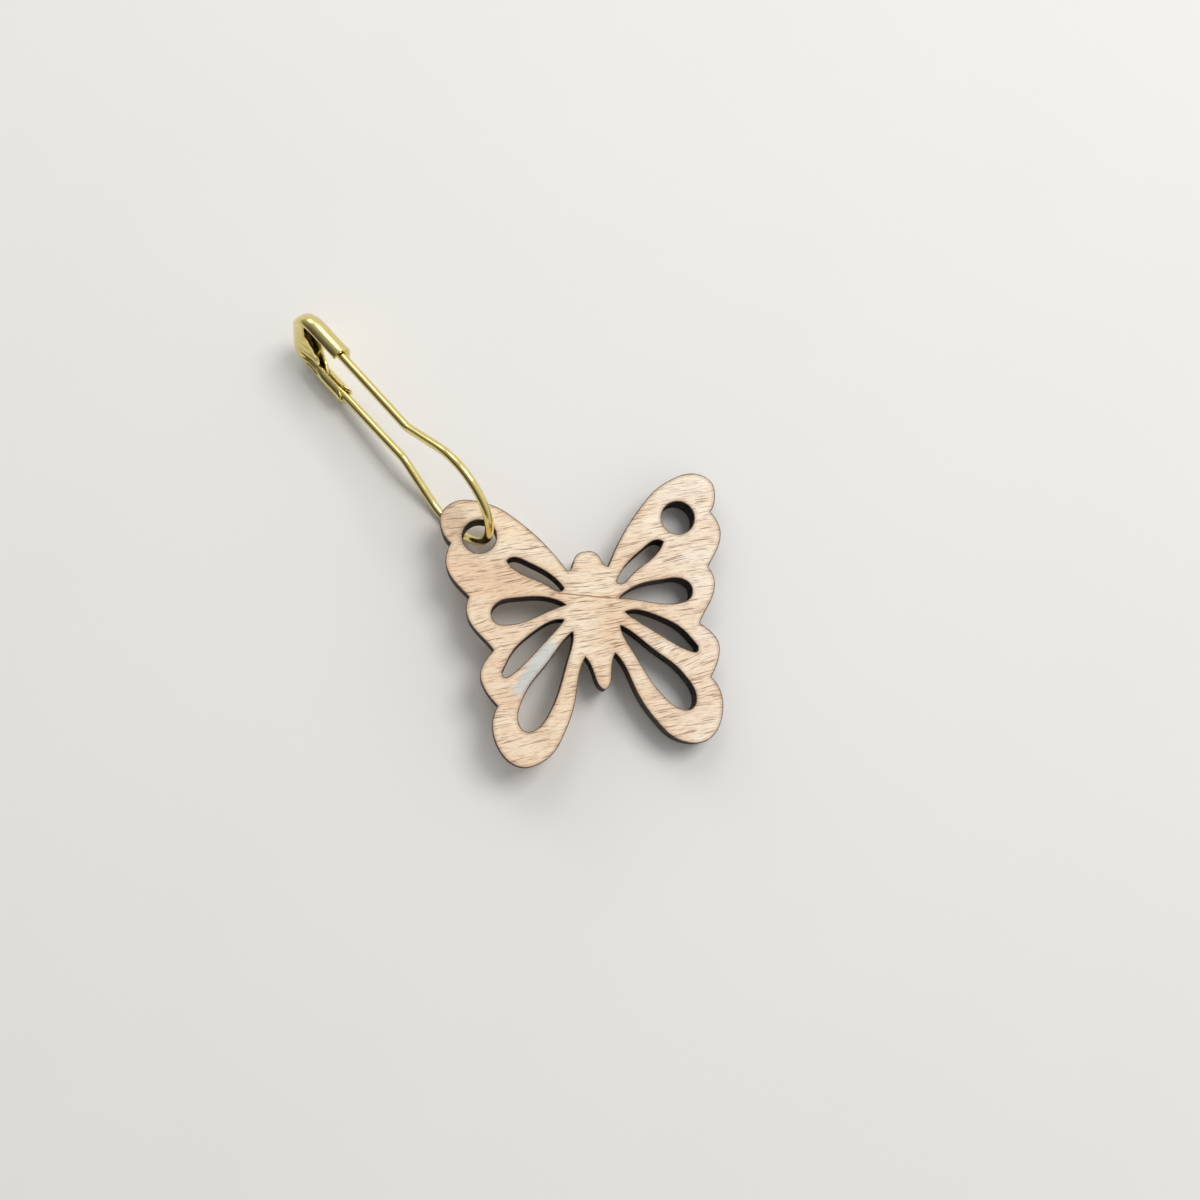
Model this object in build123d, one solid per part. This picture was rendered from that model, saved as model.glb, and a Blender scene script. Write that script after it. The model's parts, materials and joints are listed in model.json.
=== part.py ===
"""Stitch marker: a laser-cut wooden butterfly charm on a coilless bulb pin.

All lengths are in millimetres and all angles in degrees. The marker lies on a
table at z = 0, with the pin's length along +X. The pin is drawn flat first: X
runs from the cap to the bulb's end, Y from the fixed leg to the pointed leg and
Z out of the pin's plane, towards the side where the cap is open. The charm is
drawn flat too, with its body's axis along Y and the line of its holes near y = 0.
"""

import os
from math import asin, atan2, cos, degrees, hypot, radians, sin, sqrt

from build123d import *

# Wire of the pin
wire_diameter = 0.65
pin_length = 22.0
neck_width = 4.6
pinch_width = 4.2
pinch_to_bulb = 5.075
pinch_radius = 2.5
bulb_width = 8.2
point_length = 1.8
point_tip_diameter = 0.12

# Cap of the pin
sheet_thickness = 0.25
cap_length = 5.8
hook_length = 5.3
dome_length = 2.7
crimp_gap = 0.02
crimp_slit = 0.14
hook_face_gap = 0.15
hook_edge_gap = 0.05
hook_back_reach = 0.95
hook_flap_share = 0.12
cap_rim = 1.0
notch_from_top = 2.3
wire_end_from_top = 1.3
point_from_top = 2.1
round_share = 0.9

# Knuckle that stands for the bend of the wire at the bulb's end
knuckle_share = 0.97
knuckle_gap = 0.03

# Butterfly charm
wing_span = 20.0
wood_thickness = 2.0
hole_diameter = 2.4
wire_hole_shares = (-0.735, 0.014)
free_hole_shares = (0.699, -0.024)

# How the marker lies on the table
pin_lean_angle = 70.0
pin_pitch_angle = 5.0
charm_turn_angle = 55.8
thread_top_angle = 13.0
thread_bottom_angle = 46.0

# Shared cutting length, longer than any piece is thick
overrun = 1.0

# Outline of one half of the charm, as shares of half the wing span. Each row is
# one smooth stretch, and the rows meet in the notches of the outline.
outline_shares = (
    ((0.0, -0.187), (0.057, -0.197), (0.093, -0.235), (0.113, -0.285), (0.146, -0.312)),
    ((0.146, -0.312), (0.225, -0.18), (0.342, -0.02), (0.46, 0.107), (0.564, 0.198),
     (0.72, 0.273), (0.85, 0.292), (0.936, 0.26), (0.992, 0.195), (0.997, 0.11),
     (0.975, 0.035), (0.943, -0.008)),
    ((0.943, -0.008), (0.98, -0.075), (0.995, -0.16), (0.97, -0.25), (0.92, -0.33),
     (0.863, -0.408)),
    ((0.863, -0.408), (0.893, -0.475), (0.89, -0.555), (0.85, -0.645), (0.785, -0.735),
     (0.742, -0.803)),
    ((0.742, -0.803), (0.815, -0.878), (0.855, -0.958), (0.846, -1.045), (0.807, -1.13),
     (0.763, -1.195)),
    ((0.763, -1.195), (0.803, -1.265), (0.82, -1.35), (0.803, -1.465), (0.74, -1.582),
     (0.64, -1.642), (0.55, -1.638), (0.41, -1.56), (0.335, -1.46), (0.26, -1.33),
     (0.21, -1.2), (0.142, -0.993), (0.107, -0.938)),
    ((0.107, -0.938), (0.078, -1.0), (0.06, -1.08), (0.04, -1.15), (0.0, -1.185)),
)

# Cut-outs of one wing, each as an upper and a lower edge between its two ends,
# also as shares of half the wing span.
slot_shares = (
    (((0.19, -0.43), (0.235, -0.362), (0.32, -0.28), (0.42, -0.212), (0.52, -0.166), (0.566, -0.185)),
     ((0.566, -0.185), (0.525, -0.245), (0.413, -0.327), (0.31, -0.39), (0.21, -0.447), (0.19, -0.43))),
    (((0.193, -0.55), (0.26, -0.505), (0.39, -0.466), (0.535, -0.457), (0.66, -0.47), (0.715, -0.52),
      (0.72, -0.57)),
     ((0.72, -0.57), (0.685, -0.623), (0.62, -0.637), (0.51, -0.632), (0.44, -0.615), (0.344, -0.586),
      (0.193, -0.55))),
    (((0.22, -0.655), (0.275, -0.648), (0.4, -0.688), (0.505, -0.748), (0.58, -0.802), (0.65, -0.885),
      (0.7, -0.965)),
     ((0.7, -0.965), (0.685, -1.003), (0.63, -0.985), (0.55, -0.933), (0.43, -0.835), (0.3, -0.73),
      (0.22, -0.655))),
    (((0.172, -0.747), (0.225, -0.785), (0.31, -0.87), (0.4, -0.965), (0.505, -1.065),
      (0.585, -1.175), (0.632, -1.29), (0.622, -1.365)),
     ((0.622, -1.365), (0.57, -1.402), (0.49, -1.375), (0.4, -1.275), (0.355, -1.205), (0.29, -1.07),
      (0.227, -0.925), (0.175, -0.785), (0.172, -0.747))),
)

# Sizes that follow from the ones above
wire_radius = wire_diameter / 2
bulb_radius = bulb_width / 2
pin_middle = neck_width / 2
bulb_end = pin_length - wire_radius
bulb_centre = bulb_end - bulb_radius
pinch_from_top = bulb_centre - pinch_to_bulb
crimp_half = wire_radius + crimp_gap + sheet_thickness
hook_inner = wire_radius + hook_face_gap
hook_half = hook_inner + sheet_thickness
hook_centre = neck_width - (hook_face_gap - hook_edge_gap)
cap_low = -crimp_half
cap_high = hook_centre + hook_half
flap_edge = neck_width + wire_radius * hook_flap_share
half_span = wing_span / 2
hole_radius = hole_diameter / 2


def box_between(low, high):
    """A box between two opposite corners."""
    size = [b - a for a, b in zip(low, high)]
    middle = [(a + b) / 2 for a, b in zip(low, high)]
    return Pos(*middle) * Box(*size)


def leg_path(neck_start):
    """The middle line of one leg, from its end in the cap to the bulb's end.

    It is the leg on the +Y side of the pin's own middle line: a straight neck, a
    pinch, a straight flank and then the arc of the bulb, which the flank touches.
    """
    start = (neck_start, neck_width / 2)
    pinch = (pinch_from_top, pinch_width / 2)
    run = bulb_centre - pinch[0]
    distance = hypot(run, pinch[1])
    slope = atan2(-pinch[1], run) + asin(bulb_radius / distance)
    flank = sqrt(distance**2 - bulb_radius**2)
    touch = (pinch[0] + flank * cos(slope), pinch[1] + flank * sin(slope))
    arc_angle = 90 + degrees(slope)
    straight = FilletPolyline(start, pinch, touch, radius=pinch_radius)
    arc = CenterArc((bulb_centre, 0), bulb_radius, arc_angle, -arc_angle)
    return Wire(straight.edges() + arc.edges())


def leg_tube(neck_start):
    """One leg's round wire along its path, on the +Y side of the middle line."""
    path = leg_path(neck_start)
    section = Plane(origin=path @ 0, z_dir=path % 0) * Circle(wire_radius)
    return sweep(section, path=path)


def on_pin(shape, side):
    """Moves a shape from the pin's middle line to the pin, mirrored for side -1."""
    if side < 0:
        shape = mirror(shape, about=Plane.XZ)
    return Pos(0, pin_middle, 0) * shape


def fixed_leg():
    """The gripped leg and the bulb up to its end, with the ball of the knuckle."""
    ball = Pos(bulb_end, 0, 0) * Sphere(wire_radius * knuckle_share)
    return on_pin(leg_tube(wire_end_from_top), -1) + Pos(0, pin_middle, 0) * ball


def pointed_leg():
    """The leg that opens, from a cup at the bulb's end to its sharp point."""
    cone_base = point_from_top + point_length
    path = leg_path(cone_base)
    cone = Cone(
        wire_radius,
        point_tip_diameter / 2,
        point_length,
        align=(Align.CENTER, Align.CENTER, Align.MIN),
    )
    backwards = Plane(origin=path @ 0, z_dir=-(path % 0))
    cup = Pos(bulb_end, 0, 0) * Sphere(wire_radius * knuckle_share + knuckle_gap)
    return on_pin(leg_tube(cone_base) + backwards * cone - cup, 1)


def rounded_plate(low, high, top_length, half):
    """A plate with a half-elliptic top end and rounded edges all round it."""
    middle = (low + high) / 2
    top = Pos(top_length, middle) * Ellipse(top_length, (high - low) / 2)
    sides = Pos((top_length + cap_length) / 2, middle) * Rectangle(cap_length - top_length, high - low)
    plate = extrude(top + sides, amount=half, both=True)
    rim = [e for e in plate.edges() if abs(e.center().Z) > half / 2 and e.center().X < cap_length - half]
    return fillet(rim, half * round_share)


def cap():
    """The folded sheet: a domed top, a closed crimp and an open hook."""
    shell = rounded_plate(cap_low, cap_high, dome_length, hook_half)
    hollow = rounded_plate(
        cap_low + sheet_thickness,
        cap_high - sheet_thickness,
        dome_length - sheet_thickness,
        hook_inner,
    )
    shell = shell - Pos(sheet_thickness, 0, 0) * hollow

    hook_end = box_between((hook_length, crimp_half, -overrun), (pin_length, pin_length, overrun))
    front = box_between((cap_rim, crimp_half, 0), (pin_length, flap_edge, overrun))
    plate_edge = neck_width - hook_back_reach
    notch_width = plate_edge - crimp_half
    notch_middle = (plate_edge + crimp_half) / 2
    notch = box_between(
        (notch_from_top + notch_width / 2, crimp_half, -overrun), (pin_length, plate_edge, overrun)
    )
    notch_top = Pos(notch_from_top + notch_width / 2, notch_middle, 0) * Cylinder(
        notch_width / 2, overrun * 2
    )
    shell_crimp = box_between((dome_length, -pin_length, -overrun), (pin_length, crimp_half, overrun))
    shell = shell - hook_end - front - notch - notch_top - shell_crimp

    crimp_length = cap_length - cap_rim
    crimp = Pos(cap_rim + crimp_length / 2, 0, 0) * Box(crimp_length, 2 * crimp_half, 2 * crimp_half)
    crimp = fillet(crimp.edges().filter_by(Axis.X), crimp_half * round_share)
    neck_lean = degrees(atan2((neck_width - pinch_width) / 2, pinch_from_top - wire_end_from_top))
    bore = Cylinder(wire_radius + crimp_gap, pin_length, align=(Align.CENTER, Align.CENTER, Align.MIN))
    bore = Pos(wire_end_from_top - crimp_gap, 0, 0) * Rot(0, 0, neck_lean) * Rot(0, 90, 0) * bore
    slit = box_between(
        (dome_length, 0, -crimp_slit / 2), (cap_length + overrun, crimp_half + overrun, crimp_slit / 2)
    )
    return shell + crimp - bore - slit


def charm_point(shares, side=1):
    """A point of the charm from its shares, mirrored for side -1."""
    return (side * shares[0] * half_span, shares[1] * half_span)


def half_outline(side):
    """The smooth stretches of the outline on one side, from the head to the tail."""
    return [Spline(*[charm_point(p, side) for p in row]) for row in outline_shares]


def butterfly():
    """The charm, flat, with its middle plane at z = 0."""
    edges = [e for side in (1, -1) for row in half_outline(side) for e in row.edges()]
    outline = make_face(edges)
    for side in (1, -1):
        for upper, lower in slot_shares:
            rows = [Spline(*[charm_point(p, side) for p in row]) for row in (upper, lower)]
            outline -= make_face([e for row in rows for e in row.edges()])
    for shares in (wire_hole_shares, free_hole_shares):
        outline -= Pos(*charm_point(shares)) * Circle(hole_radius)
    return extrude(outline, amount=wood_thickness / 2, both=True)


def bulb_point(angle):
    """A point of the wire on the bulb, by its angle from the end to the fixed leg."""
    turn = radians(angle)
    return (bulb_centre + bulb_radius * cos(turn), pin_middle - bulb_radius * sin(turn), 0)


def lying_pin():
    """The place of the pin: leaning on its fixed leg and pitched up to the bulb."""
    turned = Location((0, 0, 0), (0, -pin_pitch_angle, 0)) * Location((0, 0, 0), (pin_lean_angle, 0, 0))
    lowest = (turned * (cap() + fixed_leg())).bounding_box().min.Z
    return Location((0, 0, -lowest)) * turned


def lying_charm(pin_place):
    """The place of the charm: its wire hole on the bulb, its far wing on the table.

    The hole's middle is midway between the two points of the bulb where the wire
    passes the charm's faces. The tilt about the charm's long axis brings the edge
    of the far wing down to the table.
    """
    top = (pin_place * Location(bulb_point(thread_top_angle))).position
    bottom = (pin_place * Location(bulb_point(thread_bottom_angle))).position
    middle = (top + bottom) / 2
    hole = charm_point(wire_hole_shares)
    reach = half_span - hole[0]
    tilt = asin(middle.Z / hypot(wood_thickness / 2, reach)) - atan2(wood_thickness / 2, reach)
    turned = Location((0, 0, 0), (0, 0, charm_turn_angle)) * Location((0, 0, 0), (0, degrees(tilt), 0))
    return Location(middle) * turned * Location((-hole[0], -hole[1], 0))


pin_place = lying_pin()
charm_place = lying_charm(pin_place)
pieces = {
    "fixed_leg": pin_place * fixed_leg(),
    "cap": pin_place * cap(),
    "pointed_leg": pin_place * pointed_leg(),
    "butterfly_charm": charm_place * butterfly(),
}
boxes = [piece.bounding_box() for piece in pieces.values()]
centring = Location((
    -(min(box.min.X for box in boxes) + max(box.max.X for box in boxes)) / 2,
    -(min(box.min.Y for box in boxes) + max(box.max.Y for box in boxes)) / 2,
    -min(box.min.Z for box in boxes),
))

os.makedirs("parts", exist_ok=True)
for name, piece in pieces.items():
    export_step(centring * piece, f"parts/{name}.step")
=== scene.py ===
"""Stitch marker: a wooden butterfly charm on a gold coilless pin, dressed for a render.

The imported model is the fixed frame. The pin is drawn flat first: u runs from the
cap to the bulb's end, v from the fixed leg to the pointed leg and w out of the
pin's plane. The charm is drawn flat too, with x across its wings and y along its
body. Lengths are in metres.
"""

import json
import math

import bmesh
import bpy
import numpy as np
from mathutils import Matrix, Vector
from mathutils.geometry import delaunay_2d_cdt


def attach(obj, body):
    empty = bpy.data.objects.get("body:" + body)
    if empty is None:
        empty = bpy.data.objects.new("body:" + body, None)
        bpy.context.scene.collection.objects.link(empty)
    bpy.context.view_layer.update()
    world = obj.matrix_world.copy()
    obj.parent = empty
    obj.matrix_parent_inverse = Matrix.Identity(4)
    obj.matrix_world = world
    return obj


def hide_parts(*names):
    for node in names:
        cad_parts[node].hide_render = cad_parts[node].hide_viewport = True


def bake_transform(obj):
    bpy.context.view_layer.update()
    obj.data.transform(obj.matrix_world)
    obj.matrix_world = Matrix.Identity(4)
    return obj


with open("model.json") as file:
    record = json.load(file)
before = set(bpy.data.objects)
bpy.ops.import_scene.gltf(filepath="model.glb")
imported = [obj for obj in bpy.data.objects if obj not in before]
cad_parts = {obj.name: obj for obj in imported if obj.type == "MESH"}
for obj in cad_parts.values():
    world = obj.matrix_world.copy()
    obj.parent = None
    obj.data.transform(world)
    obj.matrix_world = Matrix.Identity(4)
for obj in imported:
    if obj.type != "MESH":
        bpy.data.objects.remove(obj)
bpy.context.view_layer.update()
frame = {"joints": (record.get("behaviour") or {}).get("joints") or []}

bl_info = {
    "name": "Stitch marker",
    "version": (1, 0, 0),
    "blender": (4, 5, 0),
    "location": "3D View > Sidebar > Stitch marker",
    "description": "Builds the wire, the cap and the wooden charm of a stitch marker on its packed model",
    "category": "Add Mesh",
}

MM = 0.001
WELD = 1e-7

# The wire: points along each stretch of a leg, step along the swept tube, points
# round it, and the rounding of its two ends.
NECK_POINTS = 40
PINCH_POINTS = 12
FLANK_POINTS = 12
BULB_POINTS = 60
WIRE_STEP = 0.13 * MM
WIRE_SIDES = 28
END_ROUND = 0.1 * MM
END_ROWS = 6

# The cap: rows down to the notch, which crowd towards the top, rows of each arm
# below it, and columns round each strip.
CAP_ROWS = 44
CROWDING = 1.7
ARM_ROWS = 18
LAST_ROW = 0.05 * MM
CRIMP_COLUMNS = 49
BACK_COLUMNS = 33
HOOK_COLUMNS = 41
FRONT_COLUMNS = 37
GUSSET_COLUMN = 14
GUSSET_CURVE = 1.3

# The cap's top, as a share of the sheet, where the crimp turns round, as shares of
# the shoulder and of the dome, and the widening at the crimp's and hook's ends.
TOP_SHARE = 0.54
ROUND_FROM = 0.85
ROUND_TO = 0.88
FLARE_POWER = 1.6
FLARE_GROWTH = 0.05 * MM
MOUTH_LENGTH = 0.45 * MM
MOUTH_GROWTH = 0.05

# Creases of the crimp as (folds round the leg, slant for each millimetre, start,
# share of the height), where they rise and fade, as shares of the shoulder and of
# the dome, and pleats across the closed front.
CREASES = ((3.2, 0.55, 0.0, 0.65), (5.3, -0.8, 0.6, 0.45))
CREASES_RISE = (0.8, 1.6)
CREASES_FADE = (1.0, 1.35)
FRONT_PLEATS = 5
PLEAT_START = 0.35

# The charm: rows of a rounded edge and of a wall, points round a hole, how far it
# reaches down and up its body in halves of the wing span, the second row of a
# face in edge roundings, and the space kept free beside it in face steps.
EDGE_ROWS = 4
WALL_ROWS = 9
HOLE_POINTS = 97
REACH_DOWN = 1.7
REACH_UP = 0.4
SECOND_ROW = 1.6
FREE_STRIP = 0.55

# Open pores of the wood as (stretch, move, detail, lowest and highest level of
# the noise, darkness). Places on the charm are in millimetres.
GRAIN_TURN = math.radians(-4.0)
PORES = (
    ((0.42, 13.0, 2.0), (0.0, 7.3, 0.0), 2.0, (0.59, 0.68), 1.0),
    ((0.5, 5.5, 2.0), (2.2, 4.1, 0.0), 2.0, (0.6, 0.68), 0.72),
    ((1.1, 23.0, 3.0), (5.1, 0.0, 0.0), 1.0, (0.6, 0.74), 0.75),
)
VESSEL_BELOW = 5.05
VESSEL_SLOPE = 0.22
VESSEL_LEFT = 0.4
FILM_START = (-2.6, -7.4)
FILM_END = (-6.15, -11.8)
SCORCH = (0.34, 0.19, 0.11)
ASH = (0.085, 0.045, 0.026)

# Soft lamps as (name, place, aim, size, share of the key's power, colour).
LAMPS = (
    ("key", (0.03, 0.20, 0.30), (0, 0, 0), 0.16, 1.0, (1.0, 0.98, 0.95)),
    ("side", (-0.28, 0.05, 0.12), (-0.01, 0, 0), 0.10, 0.12, (1.0, 1.0, 1.0)),
    ("window", (-0.21, 0.155, 0.25), (-0.01, 0, 0), 0.14, 0.26, (1.0, 1.0, 1.0)),
)
CAMERA_PLACE = (17.66, -7.71, 87.56)
CAMERA_AHEAD = (-0.1029, 0.0937, -0.9903)
CAMERA_UP = (-0.7320, 0.6670, 0.1392)

# Outline of one half of the charm, as shares of half the wing span. Each row is
# one smooth stretch, and the rows meet in the notches of the outline.
OUTLINE_SHARES = (
    ((0.0, -0.187), (0.057, -0.197), (0.093, -0.235), (0.113, -0.285), (0.146, -0.312)),
    ((0.146, -0.312), (0.225, -0.18), (0.342, -0.02), (0.46, 0.107), (0.564, 0.198),
     (0.72, 0.273), (0.85, 0.292), (0.936, 0.26), (0.992, 0.195), (0.997, 0.11),
     (0.975, 0.035), (0.943, -0.008)),
    ((0.943, -0.008), (0.98, -0.075), (0.995, -0.16), (0.97, -0.25), (0.92, -0.33),
     (0.863, -0.408)),
    ((0.863, -0.408), (0.893, -0.475), (0.89, -0.555), (0.85, -0.645), (0.785, -0.735),
     (0.742, -0.803)),
    ((0.742, -0.803), (0.815, -0.878), (0.855, -0.958), (0.846, -1.045), (0.807, -1.13),
     (0.763, -1.195)),
    ((0.763, -1.195), (0.803, -1.265), (0.82, -1.35), (0.803, -1.465), (0.74, -1.582),
     (0.64, -1.642), (0.55, -1.638), (0.41, -1.56), (0.335, -1.46), (0.26, -1.33),
     (0.21, -1.2), (0.142, -0.993), (0.107, -0.938)),
    ((0.107, -0.938), (0.078, -1.0), (0.06, -1.08), (0.04, -1.15), (0.0, -1.185)),
)

# Cut-outs of one wing, each as an upper and a lower edge between its two ends.
SLOT_SHARES = (
    (((0.19, -0.43), (0.235, -0.362), (0.32, -0.28), (0.42, -0.212), (0.52, -0.166), (0.566, -0.185)),
     ((0.566, -0.185), (0.525, -0.245), (0.413, -0.327), (0.31, -0.39), (0.21, -0.447), (0.19, -0.43))),
    (((0.193, -0.55), (0.26, -0.505), (0.39, -0.466), (0.535, -0.457), (0.66, -0.47), (0.715, -0.52),
      (0.72, -0.57)),
     ((0.72, -0.57), (0.685, -0.623), (0.62, -0.637), (0.51, -0.632), (0.44, -0.615), (0.344, -0.586),
      (0.193, -0.55))),
    (((0.22, -0.655), (0.275, -0.648), (0.4, -0.688), (0.505, -0.748), (0.58, -0.802), (0.65, -0.885),
      (0.7, -0.965)),
     ((0.7, -0.965), (0.685, -1.003), (0.63, -0.985), (0.55, -0.933), (0.43, -0.835), (0.3, -0.73),
      (0.22, -0.655))),
    (((0.172, -0.747), (0.225, -0.785), (0.31, -0.87), (0.4, -0.965), (0.505, -1.065),
      (0.585, -1.175), (0.632, -1.29), (0.622, -1.365)),
     ((0.622, -1.365), (0.57, -1.402), (0.49, -1.375), (0.4, -1.275), (0.355, -1.205), (0.29, -1.07),
      (0.227, -0.925), (0.175, -0.785), (0.172, -0.747))),
)
WIRE_HOLE_SHARES = (-0.735, 0.014)
FREE_HOLE_SHARES = (0.699, -0.024)


def length(name, description, default):
    """A length in metres."""
    return bpy.props.FloatProperty(
        name=name, description=description, default=default, min=0, unit="LENGTH", precision=5
    )


def angle(name, description, default):
    """An angle, given here in degrees and held in radians."""
    return bpy.props.FloatProperty(
        name=name, description=description, default=math.radians(default), unit="ROTATION"
    )


def share(name, description, default):
    """A number from 0 to 1."""
    return bpy.props.FloatProperty(
        name=name, description=description, default=default, min=0, max=1, subtype="FACTOR"
    )


def colour(name, description, default):
    """A linear colour."""
    return bpy.props.FloatVectorProperty(
        name=name, description=description, default=default, size=3, min=0, max=1, subtype="COLOR"
    )


class PinSettings(bpy.types.PropertyGroup):
    """Sizes and finish of the pin's wire, and how the pin lies."""

    wire: length("Wire", "Diameter of the wire", 0.65 * MM)
    pin_length: length("Length", "Length of the pin from the cap to the bulb's end", 22.0 * MM)
    neck_width: length("Neck width", "Distance between the legs at the cap", 4.6 * MM)
    pinch_width: length("Pinch width", "Distance between the legs at the pinch", 4.2 * MM)
    pinch_to_bulb: length("Pinch to bulb", "Distance from the pinch to the bulb's centre", 5.075 * MM)
    pinch_radius: length("Pinch radius", "Radius of the bend at the pinch", 1.6 * MM)
    bulb_width: length("Bulb width", "Width of the bulb between the middles of the wire", 8.2 * MM)
    point_length: length("Point", "Length of the ground point", 1.8 * MM)
    tip: length("Tip", "Diameter of the point's end", 0.12 * MM)
    point_from_top: length("Point from top", "Distance from the cap's top to the point", 2.1 * MM)
    grip_from_top: length("Grip from top", "Distance from the cap's top to the gripped end", 2.2 * MM)
    bend_start: length("Bend start", "Where the wire starts to give, across the pin", 1.4 * MM)
    bend_end: length("Bend end", "Where the wire has given fully, across the pin", 4.0 * MM)
    lean: angle("Lean", "Turn of the pin about its own length", 70.0)
    pitch: angle("Pitch", "Rise of the pin towards the bulb", 5.0)
    gold: colour("Gold", "Colour of the wire's plating", (0.80, 0.68, 0.27))
    roughness: share("Roughness", "Roughness of the wire's plating", 0.17)


class CapSettings(bpy.types.PropertyGroup):
    """Sizes and finish of the folded cap."""

    sheet: length("Sheet", "Thickness of the sheet", 0.25 * MM)
    crimp_length: length("Crimp length", "Reach of the crimp from the cap's top", 5.8 * MM)
    hook_length: length("Hook length", "Reach of the hook from the cap's top", 5.3 * MM)
    dome_length: length("Dome length", "Length of the rounded top", 2.7 * MM)
    dome_round: length("Dome rounding", "Length over which the top closes to its full thickness", 0.9 * MM)
    half_thickness: length("Half thickness", "Half the cap's thickness, at the middle of the sheet", 0.6 * MM)
    crimp_radius: length("Crimp radius", "Radius of the crimp, at the middle of the sheet", 0.47 * MM)
    low_edge: length("Low edge", "Reach of the sheet's middle beyond the fixed leg", 0.47 * MM)
    high_edge: length("High edge", "Outer edge of the hook, at the middle of the sheet", 5.1 * MM)
    shoulder: length("Shoulder", "Where the crimp starts to turn round the leg", 1.0 * MM)
    front: length("Front", "Reach of the closed front from the cap's top", 1.5 * MM)
    gusset: length("Gusset", "Reach of the pleated corner from the cap's top", 2.7 * MM)
    notch_from_top: length("Notch", "Distance from the cap's top to the notch in its back", 2.3 * MM)
    back_left: length("Notch low edge", "Edge of the notch beside the crimp", 0.595 * MM)
    back_right: length("Notch high edge", "Edge of the notch beside the hook", 3.65 * MM)
    flap_angle: angle("Flap", "Angle to which the hook's fold reaches round the wire", 76.6)
    slit_angle: angle("Slit", "Half the angle of the crimp's slit", 9.0)
    flare_angle: angle("Flare", "Further half angle of the slit at the crimp's end", 34.0)
    flare_length: length("Flare length", "Length of the crimp's flared end", 0.9 * MM)
    crease: length("Crease", "Height of the creases where the sheet turns round the leg", 0.13 * MM)
    gold: colour("Gold", "Colour of the cap's plating", (0.79, 0.68, 0.28))
    roughness: share("Roughness", "Roughness of the cap's plating", 0.18)


class CharmSettings(bpy.types.PropertyGroup):
    """Sizes and finish of the wooden charm."""

    wing_span: length("Wing span", "Width of the charm across its wings", 20.0 * MM)
    thickness: length("Thickness", "Thickness of the wood", 2.0 * MM)
    hole: length("Hole", "Diameter of the hole in each wing", 2.4 * MM)
    edge_round: length("Edge rounding", "Rounding of the cut edges", 0.05 * MM)
    edge_step: length("Edge step", "Distance between points along the edges", 0.09 * MM)
    face_step: length("Face step", "Distance between points inside the faces", 0.34 * MM)
    turn: angle("Turn", "Turn of the charm on the table", 55.8)
    tilt: angle("Tilt", "Tilt that brings the far wing down to the table", 5.616)
    cream: colour("Cream", "Main colour of the wood", (0.90, 0.78, 0.60))
    # pale is partly the wood's own tone and partly painted light on the far wing, which the lamp lights more.
    pale: colour("Pale", "Palest colour of the wood, on the far wing", (0.95, 0.87, 0.75))
    pink: colour("Pink", "Warmer patches of the wood", (0.82, 0.58, 0.38))
    pore: colour("Pore", "Colour of the open pores", (0.24, 0.11, 0.06))
    burnt: colour("Burnt", "Colour of the burnt edges", (0.022, 0.012, 0.008))
    worn: colour("Worn", "Grey-white film on one bridge between two cut-outs", (0.55, 0.59, 0.59))
    roughness: share("Roughness", "Roughness of the bare wood", 0.62)


class StageSettings(bpy.types.PropertyGroup):
    """Floor, light and camera."""

    floor_half: length("Floor", "Half the side of the floor", 1.2)
    floor: colour("Floor colour", "Colour of the floor", (0.80, 0.79, 0.77))
    key_power: bpy.props.FloatProperty(
        name="Key", description="Power of the main soft lamp in watts", default=0.64, unit="POWER"
    )
    sky: bpy.props.FloatProperty(
        name="Sky", description="Strength of the light from all round", default=0.85, min=0
    )
    lens: bpy.props.FloatProperty(
        name="Lens", description="Focal length in millimetres", default=36.09, unit="CAMERA"
    )


def rotation(*turns):
    """Turns about the fixed axes, given as (axis letter, angle), the last one first."""
    whole = Matrix.Identity(3)
    for axis, turn in turns:
        whole = whole @ Matrix.Rotation(turn, 3, axis)
    return np.array(whole)


def joint_place(name):
    """Where a joint stands at rest."""
    return np.array(next(j["pos_m"] for j in frame["joints"] if j["name"] == name))


def place_on_pin(points, pin):
    """Flat pin points to the table: the lean about u, then the pitch, about the flex joint."""
    turned = rotation(("Y", -pin.pitch), ("X", pin.lean))
    anchor = np.array([pin.pin_length - pin.wire / 2, pin.neck_width / 2, 0.0])
    return (points - anchor) @ turned.T + joint_place("pin_flex")


def place_on_table(points, charm):
    """Flat charm points to the table: the tilt about y, then the turn, about the wire's hole."""
    turned = rotation(("Z", charm.turn), ("Y", charm.tilt))
    anchor = np.array([*charm_points(WIRE_HOLE_SHARES, 1, charm)[0], 0.0])
    return (points - anchor) @ turned.T + joint_place("charm_swing")


def ease(x, low, high):
    """0 before low, 1 after high and 3t^2 - 2t^3 between."""
    t = np.clip((x - low) / (high - low), 0, 1)
    return t * t * (3 - 2 * t)


def grid_faces(rows, columns, start=0, around=False):
    """The quads of a grid kept row after row. around joins the last column to the first."""
    i = np.arange(columns if around else columns - 1)
    j = np.arange(rows - 1)[:, None]
    k = (i + 1) % columns
    quads = np.stack([j * columns + i, j * columns + k, (j + 1) * columns + k, (j + 1) * columns + i], -1)
    return (quads.reshape(-1, 4) + start).tolist()


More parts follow.
